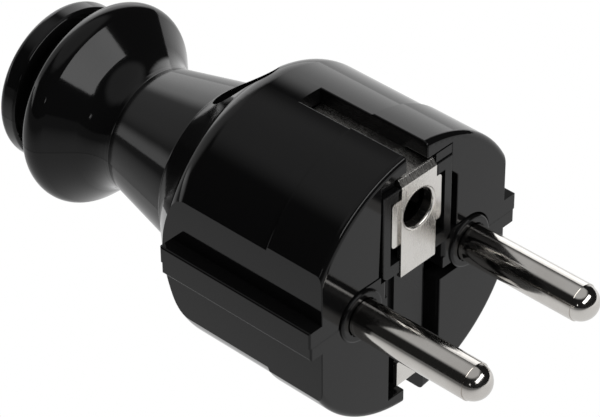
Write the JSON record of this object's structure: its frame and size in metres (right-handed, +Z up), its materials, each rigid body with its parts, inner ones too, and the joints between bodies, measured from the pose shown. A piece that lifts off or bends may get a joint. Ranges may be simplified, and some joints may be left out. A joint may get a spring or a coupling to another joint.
{
  "type": "earthed plug",
  "caption": "Rewireable earthed mains plug with round pins, side earth strips, an earth-pin hole in a steel plate and a spool-shaped grip.",
  "frame": {"origin": "on the shells' front face, midway between the two pins", "axes": "+X forward along the pins, +Y to the plug's left, +Z up towards the earth-pin hole"},
  "size_m": [0.0795, 0.0362, 0.0367],
  "materials": {
    "shell_plastic": "glossy black moulded plastic",
    "carrier_plastic": "black moulded plastic",
    "clamp_plastic": "dull black moulded plastic",
    "pin_metal": "polished nickel plate",
    "contact_steel": "nickel-plated rolled strip",
    "spring_metal": "bare bronze strip",
    "terminal_brass": "bare brass",
    "screw_steel": "zinc-plated steel"
  },
  "bodies": {
    "root": {"upper_shell": "shell_plastic", "lower_shell": "shell_plastic", "contact_carrier": "carrier_plastic", "pin_left": "pin_metal", "pin_right": "pin_metal", "terminal_screw_left": "screw_steel", "terminal_screw_right": "screw_steel", "upper_earth_contact": "contact_steel", "lower_earth_contact": "contact_steel", "earth_pin_clip": "spring_metal", "earth_bridge": "terminal_brass", "earth_rivet_upper": "terminal_brass", "earth_rivet_lower": "terminal_brass", "earth_wire_washer": "screw_steel", "earth_terminal_screw": "screw_steel", "cord_clamp": "clamp_plastic", "cord_clamp_screw_left": "screw_steel", "cord_clamp_screw_right": "screw_steel", "housing_screw": "screw_steel", "housing_nut": "screw_steel"}
  },
  "joints": []
}
